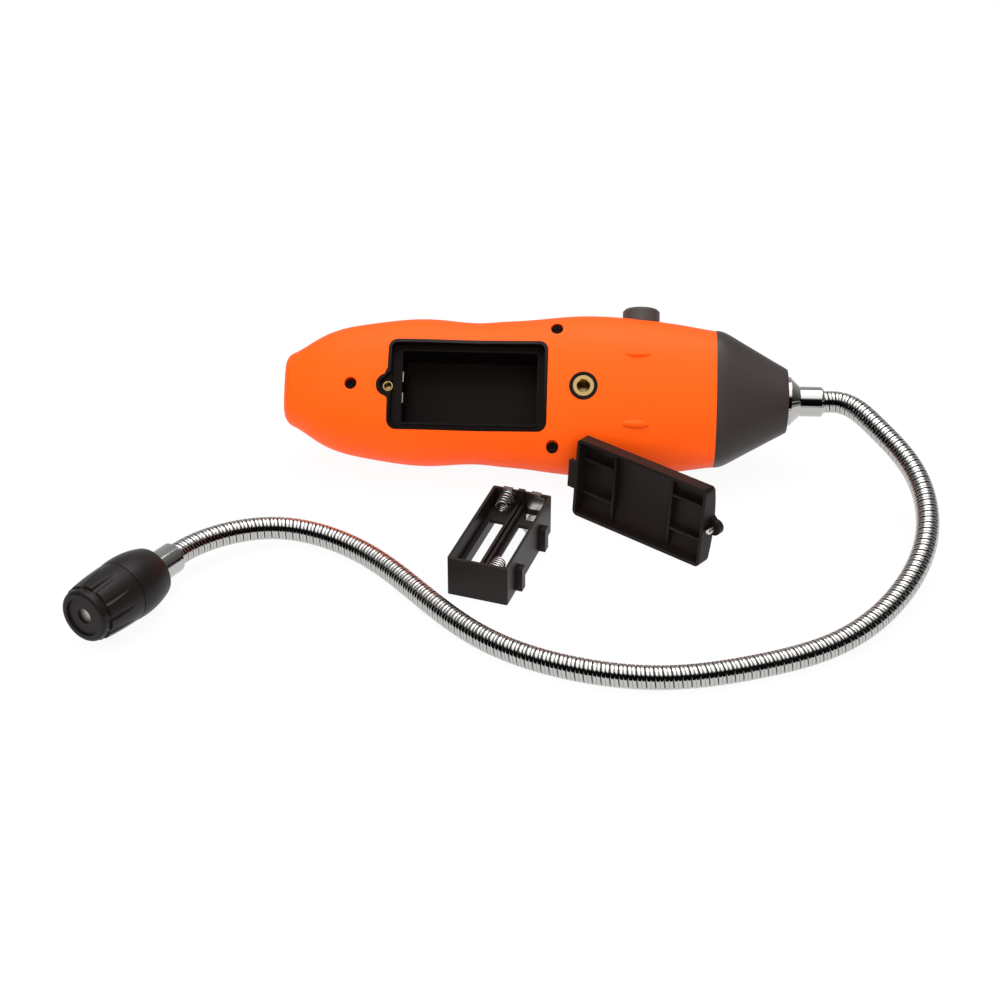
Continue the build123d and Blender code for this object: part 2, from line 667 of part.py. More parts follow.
def make_cover():
    """Battery cover in its own frame: X along it, Y across, Z out of its inner side."""
    middle = COVER_WIDTH / 2
    edge, crown = -COVER_DEPTH, -COVER_DEPTH - COVER_CROWN

    def crowned(low, side, wall):
        near = side + COVER_DRAFT
        arc = ThreePointArc((0, near, edge + wall), (0, middle, crown + wall),
                            (0, COVER_WIDTH - near, edge + wall))
        sides = Polyline(arc @ 1, (0, COVER_WIDTH - side, low), (0, side, low), arc @ 0)
        return make_face(arc.edges() + sides.edges())

    cover = extrude(crowned(0, 0, 0), COVER_LENGTH, dir=(1, 0, 0))
    plan = Pos(COVER_LENGTH / 2, middle) * RectangleRounded(
        COVER_LENGTH, COVER_WIDTH, RECESS_CORNER - RIM_WALL - COVER_GAP)
    cover &= prism(plan, -20, 1)
    hollow = extrude(crowned(1, COVER_WALL, COVER_PLATE), COVER_LENGTH - 2 * COVER_WALL,
                     dir=(1, 0, 0))
    cover -= Pos(COVER_WALL, 0, 0) * hollow
    rib_top = -COVER_DEPTH + COVER_PLATE + COVER_RIB_HEIGHT
    rib_base = crown + COVER_PLATE / 2
    rib_middle = (rib_top + rib_base) / 2
    rib_span = rib_top - rib_base
    for x in COVER_CROSS_RIBS:
        cover += Pos(x, middle, rib_middle) * Box(COVER_RIB, COVER_WIDTH - COVER_WALL, rib_span)
    bays = ((0, COVER_CROSS_RIBS[0]), (COVER_CROSS_RIBS[1], COVER_LENGTH))
    for y in COVER_LONG_RIBS:
        for low, high in bays:
            cover += Pos((low + high) / 2, y, rib_middle) * Box(
                high - low - COVER_WALL, COVER_RIB, rib_span)
    tongue = Box(COVER_TONGUE[0] + COVER_WALL, COVER_TONGUE[1], COVER_TONGUE[2])
    cover += Pos((COVER_WALL - COVER_TONGUE[0]) / 2, middle, -COVER_TONGUE_RISE) * tongue
    ear_top = crown + EAR_FLOOR_DEPTH - COVER_GAP
    ear_radius = EAR_RADIUS - RIM_WALL - COVER_GAP
    root = COVER_LENGTH - COVER_WALL
    across = middle + EAR_SIDE
    flare = Polyline((root, middle - 5), (COVER_EAR, across - ear_radius),
                     (COVER_EAR, across + ear_radius), (root, middle + 5), close=True)
    ear_plan = make_face(flare.edges()) + Pos(COVER_EAR, across) * Circle(ear_radius)
    cover += prism(ear_plan, crown + EAR_DROP, ear_top)
    cover -= Pos(COVER_EAR, across, ear_top) * Cylinder(
        COVER_SCREW_SHANK + COVER_SCREW_GAP, 4 * COVER_DEPTH)
    return cover - Pos(COVER_EAR, across, crown) * Cylinder(
        COVER_SCREW_HEAD + COVER_SCREW_GAP, 2 * (EAR_DROP + COVER_SCREW_HEAD_HEIGHT))


def make_cover_screw():
    """Captive screw of the cover: slotted head sunk in the ear, tip standing out inside."""
    low = -COVER_DEPTH - COVER_CROWN + EAR_DROP
    shank = Pos(0, 0, low + COVER_SCREW_LENGTH / 2) * Cylinder(
        COVER_SCREW_SHANK, COVER_SCREW_LENGTH)
    shank = chamfer(shank.edges().sort_by(Axis.Z)[-1], 0.4)
    head = Pos(0, 0, low + COVER_SCREW_HEAD_HEIGHT / 2) * Cylinder(
        COVER_SCREW_HEAD, COVER_SCREW_HEAD_HEIGHT)
    screw = shank + head - Pos(0, 0, low) * Box(6, 0.7, 1.4)
    return Pos(COVER_EAR, COVER_WIDTH / 2 + EAR_SIDE, 0) * screw


def neck_path():
    """Centre line of the gooseneck from collar to collar."""
    nose = STATIONS[-1][0] + NOSE_LENGTH + FLANGE_THICKNESS + FLANGE_CONE + COLLAR_LENGTH
    tail = -SLEEVE_LENGTH - HEAD_COLLAR_LENGTH
    seated = COLLAR_BORE_DEPTH - FIT
    leave = [on_housing(Location((nose + x, 0, 0))).position for x in (-seated, 0, 6)]
    arrive = [on_head(Location((0, 0, tail + z))).position for z in (-4, 0, seated)]
    points = leave + [Vector(*point) for point in NECK_POINTS] + arrive
    ends = [(leave[1] - leave[0]).normalized(), (arrive[2] - arrive[1]).normalized()]
    return Edge.make_spline(points, tangents=ends, scale=False)


def make_gooseneck():
    """Pliable metal conduit: rounded turns as ridges and grooves along the centre line."""
    path = neck_path()
    steps = 2 * round(path.length / NECK_PITCH)
    sections = []
    for i in range(steps + 1):
        share = i / steps
        along = path.tangent_at(share)
        level = Vector(-along.Y, along.X, 0).normalized()
        plane = Plane(origin=path.position_at(share), x_dir=level, z_dir=along)
        radius = NECK_GROOVE if i % 2 == 0 else NECK_RIDGE
        sections.append(Wire.make_circle(radius, plane))
    return Solid.make_loft(sections, ruled=True)


def barrel(first, middle, last):
    """Solid turned about Z with a side arched through three (height, radius) points."""
    arch = ThreePointArc(*[(r, 0, h) for h, r in (first, middle, last)])
    sides = Polyline(arch @ 1, (0, 0, last[0]), (0, 0, first[0]), arch @ 0)
    return revolve(make_face(arch.edges() + sides.edges()), Axis.Z)


def make_head_sleeve():
    """Rear half of the head: a rounded sleeve with the male thread for the cap."""
    sleeve = barrel((-SLEEVE_LENGTH, SLEEVE_REAR_RADIUS), (-SLEEVE_LENGTH / 3, HEAD_RADIUS),
                    (0, SLEEVE_SEAM_RADIUS))
    sleeve = fillet(sleeve.edges().sort_by(Axis.Z)[0], SLEEVE_ROUNDING)
    sleeve += Pos(0, 0, THREAD_LENGTH / 2) * Cylinder(THREAD_RADIUS, THREAD_LENGTH)
    bore_length = THREAD_LENGTH + SLEEVE_LENGTH - 6
    sleeve -= Pos(0, 0, THREAD_LENGTH - bore_length / 2) * Cylinder(
        THREAD_RADIUS - SLEEVE_WALL, bore_length)
    sleeve -= Pos(0, 0, -SLEEVE_LENGTH) * Cylinder(SHANK_RADIUS + FIT, 20)
    return sleeve


def make_head_collar():
    """Chromed collar between the gooseneck and the head, threaded into the sleeve."""
    rear = -SLEEVE_LENGTH - HEAD_COLLAR_LENGTH
    line = Polyline([(r, 0, h) for h, r in [
        (rear, NECK_RIDGE + NECK_FIT), (rear, COLLAR_RADIUS - COLLAR_BEVEL),
        (rear + COLLAR_BEVEL, COLLAR_RADIUS), (-SLEEVE_LENGTH, COLLAR_RADIUS),
        (-SLEEVE_LENGTH, SHANK_RADIUS), (-SLEEVE_LENGTH + SHANK_LENGTH, SHANK_RADIUS),
        (-SLEEVE_LENGTH + SHANK_LENGTH, 2.5), (rear + COLLAR_BORE_DEPTH, 2.5),
        (rear + COLLAR_BORE_DEPTH, NECK_RIDGE + NECK_FIT)]], close=True)
    return revolve(make_face(line.edges()), Axis.Z)


def make_sensor_cap():
    """Fluted cap that unscrews from the sleeve to free the sensor."""
    step = CAP_LENGTH - CAP_STEP
    body = barrel((CAP_GAP, CAP_SEAM_RADIUS), (step / 2, (CAP_SEAM_RADIUS + CAP_STEP_RADIUS) / 2 + 0.3),
                  (step, CAP_STEP_RADIUS))
    body += Pos(0, 0, CAP_LENGTH - CAP_STEP / 2) * Cylinder(CAP_FACE_RADIUS, CAP_STEP)
    body = fillet(body.edges().sort_by(Axis.Z)[-1], CAP_FACE_ROUNDING)
    cutter_place = CAP_STEP_RADIUS - CAP_FLUTE_DEPTH + CAP_FLUTE_RADIUS
    cutter = Pos(0, 0, 0.4 - CAP_FLUTE_LENGTH / 2) * Cylinder(CAP_FLUTE_RADIUS, CAP_FLUTE_LENGTH)
    flute = Pos(cutter_place, 0, step) * Rot(0, -CAP_FLUTE_TILT, 0) * cutter
    for i in range(CAP_FLUTES):
        body -= Rot(0, 0, i * 360 / CAP_FLUTES) * flute
    thread_room = THREAD_LENGTH + 0.6
    body -= Pos(0, 0, thread_room / 2) * Cylinder(THREAD_RADIUS + SHAFT_CLEARANCE, thread_room)
    disc_top = CAP_LENGTH - CAP_DISC_RECESS
    room = disc_top - CAP_DISC_THICKNESS - THREAD_LENGTH
    body -= Pos(0, 0, THREAD_LENGTH + room / 2) * Cylinder(CAP_ROOM_RADIUS, room)
    body -= Pos(0, 0, CAP_LENGTH) * Cylinder(CAP_DISC_RADIUS, 2 * CAP_DISC_RECESS)
    return body - Pos(0, 0, CAP_LENGTH) * Cylinder(CAP_HOLE_RADIUS, 20)


def make_sensor_base():
    """Round carrier that holds the sensing element in the mouth of the sleeve."""
    base = Pos(0, 0, THREAD_LENGTH + SENSOR_BASE_THICKNESS / 2 - 2) * Cylinder(
        THREAD_RADIUS - SLEEVE_WALL - FIT, SENSOR_BASE_THICKNESS)
    return base


def make_sensor_element():
    """Metal can of the sensor with its domed gauze end behind the cap's hole."""
    low = THREAD_LENGTH + SENSOR_BASE_THICKNESS - 2
    high = CAP_LENGTH - CAP_DISC_RECESS - CAP_DISC_THICKNESS - SENSOR_GAP
    can = Pos(0, 0, (low + high) / 2) * Cylinder(SENSOR_RADIUS, high - low)
    can = fillet(can.edges().sort_by(Axis.Z)[-1], 0.8)
    return can


# Sizes that follow from the ones above
RECESS_MIDDLE = RECESS_START + RECESS_LENGTH / 2
SEAT_HALF_WIDTH = RECESS_WIDTH / 2 - RIM_WALL
LEDGE = back_height(RECESS_MIDDLE, SEAT_HALF_WIDTH) - COVER_DEPTH
COVER_LENGTH = RECESS_LENGTH - 2 * RIM_WALL - 2 * COVER_GAP
COVER_WIDTH = RECESS_WIDTH - 2 * RIM_WALL - 2 * COVER_GAP
COVER_CROWN = back_height(RECESS_MIDDLE, 0) - back_height(RECESS_MIDDLE, SEAT_HALF_WIDTH)
COVER_EAR = RECESS_LENGTH - RIM_WALL - COVER_GAP
TRIPOD_TOP = back_height(TRIPOD_PLACE, 0) + 0.2
BAY_PLACES = (HOLDER_WALL + CELL_DIAMETER / 2, HOLDER_WIDTH - HOLDER_WALL - CELL_DIAMETER / 2)
COVER_TILT = 90 - math.degrees(math.atan(COVER_DRAFT / COVER_DEPTH))

form = housing_form()
hollow = housing_form(HOUSING_WALL)
lean = Rot(0, 0, HOUSING_YAW) * Rot(HOUSING_LEAN, 0, 0)
housing_height = -lowest(lean * form)
head_turn = Rot(0, 0, HEAD_YAW) * Rot(0, 90 - HEAD_RISE, 0)
sleeve = make_head_sleeve()
head_height = -lowest(head_turn * sleeve)


def on_housing(thing):
    """Place a thing from the housing's frame: one location, one solid or a list of solids."""
    place = Location((HOUSING_BUTT[0], HOUSING_BUTT[1], housing_height)) * lean
    return placed(place, thing)


def on_head(thing):
    place = Location((HEAD_SEAM[0], HEAD_SEAM[1], head_height)) * head_turn
    return placed(place, thing)


def on_table(corner, yaw, tilt, thing):
    place = Location((corner[0], corner[1], 0)) * Rot(0, 0, yaw) * Rot(tilt, 0, 0)
    return placed(place, thing)


def placed(place, thing):
    if isinstance(thing, list):
        return Compound([place * solid for solid in thing])
    return place * thing


nodes = {
    "rear_shell": on_housing(make_rear_shell(form, hollow)),
    "front_shell": on_housing(make_front_shell(form, hollow)),
    "battery_tub": on_housing(make_battery_tub(form)),
    "cover_insert": on_housing(make_cover_insert()),
    "tripod_ring": on_housing(make_tripod_ring()),
    "tripod_insert": on_housing(make_tripod_insert()),
    "case_screws": on_housing(make_case_screws()),
    "nose_cone": on_housing(make_nose_cone()),
    "nose_collar": on_housing(make_nose_collar()),
    "lock_nut": on_housing(make_lock_nut()),
    "knob": on_housing(make_knob()),
    "potentiometer": on_housing(make_potentiometer()),
    "circuit_board": on_housing(make_circuit_board()),
    "sounder": on_housing(make_sounder()),
    "indicator_lamps": on_housing(make_lamps()),
    "tub_contacts": on_housing(make_tub_contacts()),
    "gooseneck": make_gooseneck(),
    "head_collar": on_head(make_head_collar()),
    "head_sleeve": on_head(sleeve),
    "sensor_cap": on_head(make_sensor_cap()),
    "sensor_base": on_head(make_sensor_base()),
    "sensor_element": on_head(make_sensor_element()),
    "cell_holder": on_table(HOLDER_CORNER, HOLDER_YAW, 0, make_holder()),
    "holder_springs": on_table(HOLDER_CORNER, HOLDER_YAW, 0, make_holder_springs()),
    "holder_contacts": on_table(HOLDER_CORNER, HOLDER_YAW, 0, make_holder_contacts()),
    "battery_cover": on_table(COVER_CORNER, COVER_YAW, COVER_TILT, make_cover()),
    "cover_screw": on_table(COVER_CORNER, COVER_YAW, COVER_TILT, make_cover_screw()),
}

# The row's origin is the middle of everything's footprint, on the table
outermost = [nodes[name] for name in ("rear_shell", "front_shell", "gooseneck", "sensor_cap", "knob")]
left = min(lowest(Rot(0, -90, 0) * solid) for solid in outermost)
right = -min(lowest(Rot(0, 90, 0) * solid) for solid in outermost)
near = min(lowest(Rot(90, 0, 0) * solid) for solid in outermost)
far = -min(lowest(Rot(-90, 0, 0) * solid) for solid in outermost)
centre = Location((-(left + right) / 2, -(near + far) / 2, 0))

os.makedirs("parts", exist_ok=True)
for name, solid in nodes.items():
    export_step(centre * solid, f"parts/{name}.step")
print("footprint", round(left, 2), round(right, 2), round(near, 2), round(far, 2))
print("heights", round(housing_height, 3), round(head_height, 3))
print("gooseneck length", round(neck_path().length, 1))
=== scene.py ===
import json
import math

import bpy
import numpy as np
from mathutils import Matrix, Vector

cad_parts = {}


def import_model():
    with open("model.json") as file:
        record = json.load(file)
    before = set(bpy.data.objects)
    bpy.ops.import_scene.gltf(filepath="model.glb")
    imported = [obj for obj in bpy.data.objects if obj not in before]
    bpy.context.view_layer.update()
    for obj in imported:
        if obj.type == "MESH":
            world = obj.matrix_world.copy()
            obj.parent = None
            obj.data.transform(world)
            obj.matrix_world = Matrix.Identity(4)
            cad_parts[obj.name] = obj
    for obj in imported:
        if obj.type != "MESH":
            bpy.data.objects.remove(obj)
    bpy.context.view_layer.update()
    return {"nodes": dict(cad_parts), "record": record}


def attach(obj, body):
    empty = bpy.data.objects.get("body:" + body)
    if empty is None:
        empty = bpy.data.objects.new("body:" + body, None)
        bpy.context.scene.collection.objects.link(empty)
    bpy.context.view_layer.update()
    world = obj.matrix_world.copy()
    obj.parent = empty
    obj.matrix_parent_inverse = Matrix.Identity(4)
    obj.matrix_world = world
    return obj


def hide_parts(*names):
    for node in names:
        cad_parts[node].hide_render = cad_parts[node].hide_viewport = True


# Looks for the gas leak detector: a plain white studio, a procedural material for every
# piece, a wound conduit for the gooseneck, smooth springs in the cell holder, and the
# battery cover with the ends of its ribs drawn back. Places are in the row frame, in metres,
# save where a comment says millimetres.

MM = 0.001
# What part.py took off its drawing positions to put the origin under the middle
CENTRE = Vector((5.28, -35.62, 0)) * MM

# The photograph's camera looks at the origin of part.py's drawing, so many degrees down
CAMERA_DISTANCE = 948 * MM
CAMERA_RISE = 33.0
CAMERA_LENS = 79.2
CAMERA_SENSOR = 36
CAMERA_NEAR = 0.01

FLOOR_HALF = 0.32
FLOOR_COLOUR = 0.9
# Share of the seen floor that is plain white; the rest of it takes the shadows
FLOOR_WHITE = 0.93
# The room that metal mirrors: level of its light at heights from the horizon, 0, to overhead,
# 1, and the share that the wall behind the object adds
ROOM = ((0.0, 0.001), (0.4, 0.002), (0.74, 0.006), (0.87, 0.8), (1.0, 1.0))
ROOM_STRENGTH = 2.1
BACK_WALL = 0.28
# Name, place, target, side, power in watts and whether metal mirrors it
LAMPS = (
    ("key", (0.1, 0.5, 1.3), (0.0, 0.0, 0.0), 0.9, 9, True),
    ("left", (-0.9, -0.6, 0.8), (0.0, 0.0, 0.0), 0.8, 6.5, False),
    ("front", (0.2, -1.2, 0.75), (0.0, 0.0, 0.02), 1.0, 13.5, False),
)

# Grain of every surface: broad patches of tint and sheen, and the depth of the fine relief
PATCH_SCALE = 30
PATCH_DETAIL = 3
GRAIN_DETAIL = 2
GRAIN_DEPTH = 0.05 * MM
LOOKS = {
    "orange_shell": dict(
        colour=(0.96, 0.097, 0.004), roughness=0.5, relief=0.3, vary=0.02, specular=0.14),
    "black_tub": dict(
        colour=(0.0065, 0.0042, 0.0034), roughness=0.4, relief=0.15, vary=0.15, specular=0.12),
    "black_cone": dict(
        colour=(0.034, 0.026, 0.025), roughness=0.45, relief=0.3, vary=0.1, specular=0.22),
    "black_knob": dict(
        colour=(0.06, 0.052, 0.050), roughness=0.45, relief=0.15, vary=0.1, specular=0.3),
    "black_cover": dict(
        colour=(0.01, 0.0065, 0.0055), roughness=0.45, relief=0.35, vary=0.15, specular=0.14),
    "black_holder": dict(
        colour=(0.011, 0.007, 0.006), roughness=0.42, relief=0.2, vary=0.12, specular=0.2),
    "head_black": dict(
        colour=(0.009, 0.0072, 0.0065), roughness=0.38, relief=0.2, vary=0.12, specular=0.17),
    "grey_plastic": dict(colour=(0.09, 0.085, 0.08), roughness=0.5, relief=0.2),
    "brass_insert": dict(colour=(0.74, 0.5, 0.2), roughness=0.24, metallic=1.0, vary=0.1),
    # The screws' near-black is painted shade: it stands in for the shadow in their deep wells
    "dark_screw": dict(colour=(0.006, 0.005, 0.005), roughness=0.5, specular=0.12),
    "bright_chrome": dict(
        colour=(0.47, 0.465, 0.455), roughness=0.07, metallic=1.0, spread=0.02, vary=0.02),
    "conduit_chrome": dict(
        colour=(0.52, 0.51, 0.495), roughness=0.1, metallic=1.0, spread=0.03, vary=0.04),
    "plated_steel": dict(
        colour=(0.62, 0.6, 0.56), roughness=0.22, metallic=1.0, spread=0.08, vary=0.08),
    "green_board": dict(colour=(0.02, 0.16, 0.06), roughness=0.35),
    "red_lens": dict(colour=(0.55, 0.03, 0.02), roughness=0.12),
    "sensor_metal": dict(
        colour=(0.5, 0.48, 0.45), roughness=0.38, metallic=0.8, relief=0.6, grain=2500.0),
}

# The gooseneck's middle line, in part.py's millimetres, and its way out of the nose collar
NECK_POINTS = [
    (134.21, 28.81, 32.16), (140.16, 28.54, 32.16), (146.15, 28.27, 32.16),
    (160.3, 13.2, 29.7), (173.6, -16.0, 24.1), (174.4, -49.0, 17.2), (161.9, -79.2, 11.0),
    (133.0, -109.2, 5.9), (98.0, -124.6, 4.95), (62.8, -131.4, 4.95), (29.0, -126.0, 4.95),
    (-3.2, -109.0, 4.95), (-33.0, -75.2, 4.95), (-64.5, -41.2, 5.3), (-89.0, -33.2, 7.4),
    (-113.0, -40.2, 9.4), (-130.20, -56.25, 10.94), (-132.30, -59.64, 11.22),
    (-135.43, -64.68, 11.63),
]
NECK_START_WAY = (1.0, -0.0454, 0.0)
NECK_SAMPLES = 6000
NECK_SIDES = 36
NECK_PITCH = 3.3 * MM
NECK_RIDGE = 4.78 * MM
NECK_GROOVE = 4.25 * MM
# One turn of the strip as (share of the pitch, height between groove, 0, and ridge, 1)
TURN_PROFILE = (
    (0.0, 0.0), (0.045, 0.5), (0.09, 0.9), (0.15, 1.0), (0.4, 1.0), (0.455, 0.85),
    (0.5, 0.6), (0.545, 0.85), (0.6, 1.0), (0.85, 1.0), (0.91, 0.9), (0.955, 0.5),
)
# Painted shade in the conduit's grooves: the dark colour mixed in where the turn is low, and
# how fast it gives way towards the ridge
GROOVE_PAINTED_SHADE = (0.05, 0.045, 0.042, 1)
GROOVE_SHADE_FALL = 1.6

# The cell holder and its springs, in millimetres; a bay is (x, z, whether at the far end)
HOLDER_CORNER = Vector((-21.3, -69.4, 0)) * MM
HOLDER_YAW = -19.1
HOLDER_LENGTH = 57.1
HOLDER_END = 1.7
SPRING_BAYS = ((6.55, 13.5, True), (19.05, 13.5, False), (6.55, 4.0, False), (19.05, 4.0, True))
SPRING_RADII = (3.58, 2.6)
SPRING_LENGTH = 7.9
SPRING_WIRE = 0.26
SPRING_TURNS = 4.5
SPRING_STEPS = 28
WIRE_SIDES = 10

# The battery cover stands on its long side: its place, its lean and its outer face, in
# millimetres, and where a rib's end counts as standing out and is put instead
COVER_CORNER = Vector((30.7, -10.7, 0)) * MM
COVER_YAW = -38.6
COVER_DEPTH = 6.2
COVER_WIDTH = 36.3
COVER_DRAFT = 0.5
COVER_CROWN = 2.26
RIB_OVERRUN = 0.03
RIB_SET_BACK = 0.1


def studio():
    """White floor and backdrop, soft lamps and the camera of the photograph."""
    scene = bpy.context.scene
    scene.view_settings.view_transform = "Standard"
    rise = math.radians(CAMERA_RISE)
    camera = bpy.data.objects.new("camera", bpy.data.cameras.new("camera"))
    camera.data.lens = CAMERA_LENS
    camera.data.sensor_width = CAMERA_SENSOR
    camera.data.clip_start = CAMERA_NEAR
    back = Vector((0, -math.cos(rise), math.sin(rise)))
    camera.location = back * CAMERA_DISTANCE - CENTRE
    aim(camera, -back)
    scene.camera = camera

    half = FLOOR_HALF
    corners = [(-half, -half, 0), (half, -half, 0), (half, half, 0), (-half, half, 0)]
    floor = mesh_object("floor", corners, [(0, 1, 2, 3)])
    floor.data.materials.append(floor_material())

    scene.world = room()
    for lamp in LAMPS:
        add_lamp(*lamp)


def add_lamp(name, place, target, size, power, mirrored):
    """Square lamp that points at its target."""
    light = bpy.data.lights.new(name, "AREA")
    light.shape = "SQUARE"
    light.size = size
    light.energy = power
    shown = bpy.data.objects.new(name, light)
    shown.location = place
    shown.visible_glossy = mirrored
    aim(shown, Vector(target) - Vector(place))


def aim(shown, way):
    """Put a lamp or a camera in the scene, looking along a way."""
    shown.rotation_mode = "QUATERNION"
    shown.rotation_quaternion = way.to_track_quat("-Z", "Y")
    bpy.context.scene.collection.objects.link(shown)


def mesh_object(name, points, faces, smooth=False):
    mesh = bpy.data.meshes.new(name)
    mesh.from_pydata([tuple(p) for p in points], [], faces)
    mesh.update()
    if smooth:
        mesh.shade_smooth()
    shown = bpy.data.objects.new(name, mesh)
    bpy.context.scene.collection.objects.link(shown)
    return shown


def add_node(tree, kind, inputs=None, **settings):
    """Shader node with its settings and the values of its open inputs."""
    node = tree.nodes.new("ShaderNode" + kind)
    for key, value in settings.items():
        setattr(node, key, value)
    for key, value in (inputs or {}).items():
        node.inputs[key].default_value = value
    return node


def room():
    """World that is white to the camera, and to metal a room with a light ceiling."""
    world = bpy.data.worlds.new("studio")
    world.use_nodes = True
    tree = world.node_tree
    tree.nodes.clear()
    out = add_node(tree, "OutputWorld")
    white = add_node(tree, "Background", {"Color": (1, 1, 1, 1)})
    shade = add_node(tree, "Background", {"Strength": ROOM_STRENGTH})
    seen = add_node(tree, "LightPath")
    mix = add_node(tree, "MixShader")
    coords = add_node(tree, "TexCoord")
    split = add_node(tree, "SeparateXYZ")
    ramp = add_node(tree, "ValToRGB")
    wall = add_node(tree, "Math", {1: BACK_WALL}, operation="MULTIPLY", use_clamp=True)
    level = add_node(tree, "Math", operation="ADD")
    ends = ramp.color_ramp.elements
    for number, (place, light) in enumerate(ROOM):
        # A new ramp has its first two points already
        point = ends[number] if number < 2 else ends.new(place)
        point.position, point.color = place, (light, light, light, 1)
    tree.links.new(coords.outputs["Generated"], split.inputs[0])
    tree.links.new(split.outputs["Z"], ramp.inputs[0])
    tree.links.new(split.outputs["Y"], wall.inputs[0])
    tree.links.new(ramp.outputs["Color"], level.inputs[0])
    tree.links.new(wall.outputs[0], level.inputs[1])
    tree.links.new(level.outputs[0], shade.inputs["Color"])
    tree.links.new(seen.outputs["Is Camera Ray"], mix.inputs[0])
    tree.links.new(shade.outputs[0], mix.inputs[1])
    tree.links.new(white.outputs[0], mix.inputs[2])
    tree.links.new(mix.outputs[0], out.inputs[0])
    return world


def floor_material():
    """White where it is seen, straight or in metal, with a faint shadow under the pieces."""
    material = bpy.data.materials.new("floor")
    material.use_nodes = True
    tree = material.node_tree
    tree.nodes.clear()
    out = add_node(tree, "OutputMaterial")
    colour = (FLOOR_COLOUR, FLOOR_COLOUR, FLOOR_COLOUR, 1)
    plain = add_node(tree, "BsdfDiffuse", {"Color": colour})
    glow = add_node(tree, "Emission", {"Strength": 1.0})
    seen = add_node(tree, "LightPath")
    either = add_node(tree, "Math", operation="MAXIMUM")
    any_of = add_node(tree, "Math", operation="MAXIMUM")
    share = add_node(tree, "Math", {1: FLOOR_WHITE}, operation="MULTIPLY")
    mix = add_node(tree, "MixShader")
    tree.links.new(seen.outputs["Is Camera Ray"], either.inputs[0])
    tree.links.new(seen.outputs["Is Glossy Ray"], either.inputs[1])
    tree.links.new(either.outputs[0], any_of.inputs[0])
    tree.links.new(seen.outputs["Is Transmission Ray"], any_of.inputs[1])
    tree.links.new(any_of.outputs[0], share.inputs[0])
    tree.links.new(share.outputs[0], mix.inputs[0])
    tree.links.new(plain.outputs[0], mix.inputs[1])
    tree.links.new(glow.outputs[0], mix.inputs[2])
    tree.links.new(mix.outputs[0], out.inputs[0])
    return material


def surface(name, colour, roughness, metallic=0.0, grain=900.0, relief=0.0, spread=0.06,
            specular=0.5, vary=0.06):
    """Procedural material: noise varies the colour and the roughness and lifts a fine grain."""
    material = bpy.data.materials.new(name)
    material.use_nodes = True
    tree = material.node_tree
    shader = tree.nodes["Principled BSDF"]
    shader.inputs["Metallic"].default_value = metallic
    shader.inputs["Specular IOR Level"].default_value = specular
    coords = add_node(tree, "TexCoord")
    broad = add_node(tree, "TexNoise", {"Scale": PATCH_SCALE, "Detail": PATCH_DETAIL})
    tree.links.new(coords.outputs["Object"], broad.inputs["Vector"])
    dark = (*[c * (1 - vary) for c in colour], 1)
    light = (*[min(1, c * (1 + vary)) for c in colour], 1)
    tint = add_node(tree, "Mix", {6: dark, 7: light}, data_type="RGBA")
    tree.links.new(broad.outputs["Fac"], tint.inputs[0])
    tree.links.new(tint.outputs[2], shader.inputs["Base Color"])
    sheen = add_node(tree, "MapRange", {
        "To Min": max(0.02, roughness - spread), "To Max": min(1, roughness + spread)})
    tree.links.new(broad.outputs["Fac"], sheen.inputs["Value"])
    tree.links.new(sheen.outputs[0], shader.inputs["Roughness"])
    if relief:
        fine = add_node(tree, "TexNoise", {"Scale": grain, "Detail": GRAIN_DETAIL})
        tree.links.new(coords.outputs["Object"], fine.inputs["Vector"])
        bump = add_node(tree, "Bump", {"Strength": relief, "Distance": GRAIN_DEPTH})
        tree.links.new(fine.outputs["Fac"], bump.inputs["Height"])
        tree.links.new(bump.outputs[0], shader.inputs["Normal"])
    return material


def paint_groove_shade(material):
    """Paint shade into a metal's grooves between the turns, by the height kept on each vertex.
    """
    tree = material.node_tree
    shader = tree.nodes["Principled BSDF"]
    plain = shader.inputs["Base Color"].links[0].from_socket
    height = add_node(tree, "Attribute", attribute_name="turn_height")
    fall = add_node(tree, "Math", {1: GROOVE_SHADE_FALL}, operation="POWER")
    shade = add_node(tree, "Mix", {6: GROOVE_PAINTED_SHADE}, data_type="RGBA")
    tree.links.new(height.outputs["Fac"], fall.inputs[0])
    tree.links.new(fall.outputs[0], shade.inputs[0])
    tree.links.new(plain, shade.inputs[7])
    tree.links.new(shade.outputs[2], shader.inputs["Base Color"])


def materials():
    """One material for each of the record's slots."""
    made = {slot: surface(slot.replace("_", " "), **look) for slot, look in LOOKS.items()}
    # Painted shade in the conduit's grooves
    paint_groove_shade(made["conduit_chrome"])
    return made


def clamped_spline(points, start_way, end_way, count):
    """Positions and ways along a smooth curve through points with fixed end ways."""
    points = np.array(points, float)
    steps = np.linalg.norm(np.diff(points, axis=0), axis=1)
    along = np.concatenate([[0], np.cumsum(steps)])
    n = len(points)
    left = np.zeros((n, n))
    right = np.zeros((n, 3))
    left[0, 0] = left[-1, -1] = 1
    right[0], right[-1] = start_way, end_way
    for i in range(1, n - 1):
        a, b = steps[i - 1], steps[i]
        before, after = (points[i] - points[i - 1]) / a, (points[i + 1] - points[i]) / b
        left[i, i - 1:i + 2] = b, 2 * (a + b), a
        right[i] = 3 * (b * before + a * after)
    slopes = np.linalg.solve(left, right)
    places = np.linspace(0, along[-1], count)
    index = np.clip(np.searchsorted(along, places, side="right") - 1, 0, n - 2)
    span = steps[index][:, None]
    t = ((places - along[index]) / steps[index])[:, None]
    low, high = points[index], points[index + 1]
    leave, arrive = slopes[index] * span, slopes[index + 1] * span
    position = (2 * t**3 - 3 * t**2 + 1) * low + (t**3 - 2 * t**2 + t) * leave \
        + (3 * t**2 - 2 * t**3) * high + (t**3 - t**2) * arrive
    way = (6 * t**2 - 6 * t) * low + (3 * t**2 - 4 * t + 1) * leave \
        + (6 * t - 6 * t**2) * high + (3 * t**2 - 2 * t) * arrive
    way /= np.linalg.norm(way, axis=1)[:, None]
    return position, way


